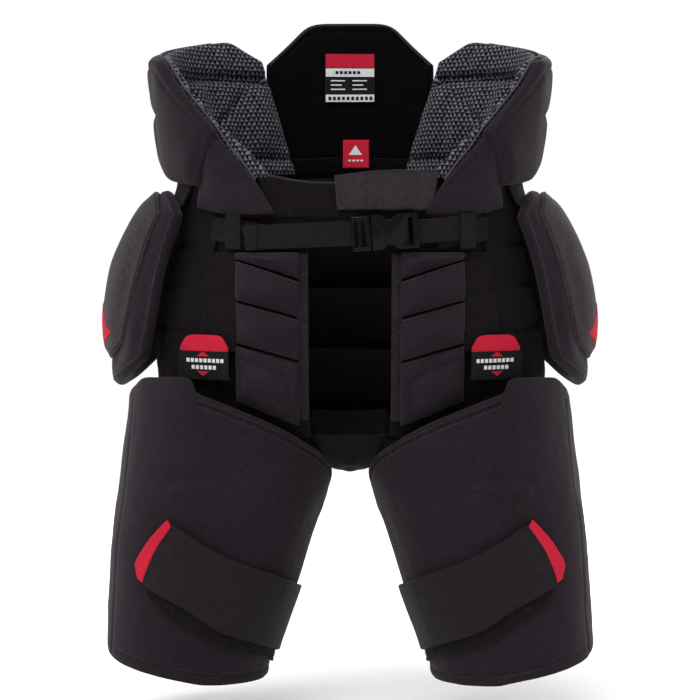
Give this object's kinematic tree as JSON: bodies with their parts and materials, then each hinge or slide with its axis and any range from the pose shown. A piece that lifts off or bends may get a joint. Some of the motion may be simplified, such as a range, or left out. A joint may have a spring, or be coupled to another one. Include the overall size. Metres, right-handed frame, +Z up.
{
  "type": "hockey pants",
  "caption": "Padded ice hockey girdle: high back and kidney pads, buckled waist belt, groin blocks, floating hip pads and two strapped thigh guards on stretch legs",
  "frame": {"origin": "the wearer's upright centre line at the level of the leg hems", "axes": "+Z up the body, -Y the wearer's front, +X the wearer's left"},
  "size_m": [0.389, 0.2172, 0.5353],
  "materials": {
    "black_cloth": "padded polyester shell cloth",
    "black_stretch": "stretch knit",
    "grey_liner": "triangle-pattern knit",
    "webbing": "woven webbing and elastic",
    "hook_and_loop": "fuzzy loop tape",
    "red_cloth": "woven red tape",
    "black_plastic": "moulded acetal",
    "foam": "soft foam",
    "label_print": "printed label"
  },
  "bodies": {
    "girdle": {"back_pad": "black_cloth", "tailbone_pad": "black_cloth", "kidney_pad_left": "black_cloth", "kidney_pad_right": "black_cloth", "waist_wing_left": "black_cloth", "waist_wing_right": "black_cloth", "groin_block_1_left": "black_cloth", "groin_block_1_right": "black_cloth", "groin_block_2_left": "black_cloth", "groin_block_2_right": "black_cloth", "groin_block_3_left": "black_cloth", "groin_block_3_right": "black_cloth", "groin_block_4_left": "black_cloth", "groin_block_4_right": "black_cloth", "seat_panel": "black_stretch", "seat_block_1": "black_stretch", "seat_block_2": "black_stretch", "seat_block_3": "black_stretch", "crotch_gusset": "black_stretch", "front_panel_left": "black_stretch", "front_panel_right": "black_stretch", "side_panel_left": "black_stretch", "side_panel_right": "black_stretch", "kidney_liner_left": "grey_liner", "kidney_liner_right": "grey_liner", "belt_anchor_left": "webbing", "belt_anchor_right": "webbing", "belt_loop_left": "webbing", "belt_loop_right": "webbing", "belt_strap_left": "webbing", "waistband": "hook_and_loop", "hook_strip_left": "hook_and_loop", "hook_strip_right": "hook_and_loop", "hang_tab": "red_cloth", "buckle_socket": "black_plastic", "size_label": "label_print"},
    "belt": {"buckle_plug": "black_plastic", "belt_strap_right": "webbing"},
    "prong_upper": {"buckle_prong_upper": "black_plastic"},
    "prong_lower": {"buckle_prong_lower": "black_plastic"},
    "flap": {"waist_flap": "webbing"},
    "hip_left": {"hip_base_left": "black_cloth", "hip_cap_left": "black_cloth"},
    "leg_left": {"leg_sleeve_left": "black_stretch"},
    "thigh_left": {"thigh_liner_left": "foam", "thigh_guard_left": "black_cloth", "strap_patch_left": "hook_and_loop", "strap_wrap_left": "webbing"},
    "strap_left": {"thigh_strap_left": "webbing"},
    "tab_left": {"height_tab_left": "red_cloth"},
    "hip_right": {"hip_base_right": "black_cloth", "hip_cap_right": "black_cloth"},
    "leg_right": {"leg_sleeve_right": "black_stretch"},
    "thigh_right": {"thigh_liner_right": "foam", "thigh_guard_right": "black_cloth", "strap_patch_right": "hook_and_loop", "strap_wrap_right": "webbing"},
    "strap_right": {"thigh_strap_right": "webbing"},
    "tab_right": {"height_tab_right": "red_cloth"}
  },
  "joints": [
    {"name": "buckle_slide", "type": "slide", "parent": "girdle", "child": "belt", "axis": [-0.9949, -0.0731, -0.0698], "range_m": [0, 0.03]},
    {"name": "prong_upper_squeeze", "type": "hinge", "parent": "belt", "child": "prong_upper", "pos_m": [0.01552, -0.09261, 0.35538], "axis": [-0.0732, 0.9973, 0], "range_deg": [0, 5], "stiffness_Nm_per_rad": 0.02},
    {"name": "prong_lower_squeeze", "type": "hinge", "parent": "belt", "child": "prong_lower", "pos_m": [0.01648, -0.09254, 0.34162], "axis": [-0.0732, 0.9973, 0], "range_deg": [-5, 0], "stiffness_Nm_per_rad": 0.02},
    {"name": "flap_peel", "type": "hinge", "parent": "girdle", "child": "flap", "pos_m": [0.05055, -0.08753, 0.38142], "axis": [0, 0, 1], "range_deg": [0, 80]},
    {"name": "hip_pad_lift_left", "type": "hinge", "parent": "girdle", "child": "hip_left", "pos_m": [0.147, 0, 0.385], "axis": [0, -1, 0], "range_deg": [0, 25]},
    {"name": "leg_flex_left", "type": "hinge", "parent": "girdle", "child": "leg_left", "pos_m": [0.088, 0, 0.3], "axis": [-1, 0, 0], "range_deg": [0, 15]},
    {"name": "thigh_height_left", "type": "slide", "parent": "leg_left", "child": "thigh_left", "axis": [0.1657, 0, -0.9862], "range_m": [0, 0.025]},
    {"name": "thigh_strap_peel_left", "type": "hinge", "parent": "thigh_left", "child": "strap_left", "pos_m": [0.06784, -0.06048, 0.05082], "axis": [0.2747, 0.1159, -0.9545], "range_deg": [0, 85]},
    {"name": "height_tab_peel_left", "type": "hinge", "parent": "thigh_left", "child": "tab_left", "pos_m": [0.11225, -0.07293, 0.23829], "axis": [0.8775, 0.4789, 0.0253], "range_deg": [0, 75]},
    {"name": "hip_pad_lift_right", "type": "hinge", "parent": "girdle", "child": "hip_right", "pos_m": [-0.147, 0, 0.385], "axis": [0, 1, 0], "range_deg": [0, 25]},
    {"name": "leg_flex_right", "type": "hinge", "parent": "girdle", "child": "leg_right", "pos_m": [-0.088, 0, 0.3], "axis": [-1, 0, 0], "range_deg": [0, 15]},
    {"name": "thigh_height_right", "type": "slide", "parent": "leg_right", "child": "thigh_right", "axis": [-0.1657, 0, -0.9862], "range_m": [0, 0.025]},
    {"name": "thigh_strap_peel_right", "type": "hinge", "parent": "thigh_right", "child": "strap_right", "pos_m": [-0.06784, -0.06048, 0.05082], "axis": [0.2747, -0.1159, 0.9545], "range_deg": [0, 85]},
    {"name": "height_tab_peel_right", "type": "hinge", "parent": "thigh_right", "child": "tab_right", "pos_m": [-0.11225, -0.07293, 0.23829], "axis": [0.8775, -0.4789, -0.0253], "range_deg": [0, 75]}
  ],
  "couplings": [
    {"joint": "prong_lower_squeeze", "follows": "prong_upper_squeeze", "ratio": -1}
  ]
}
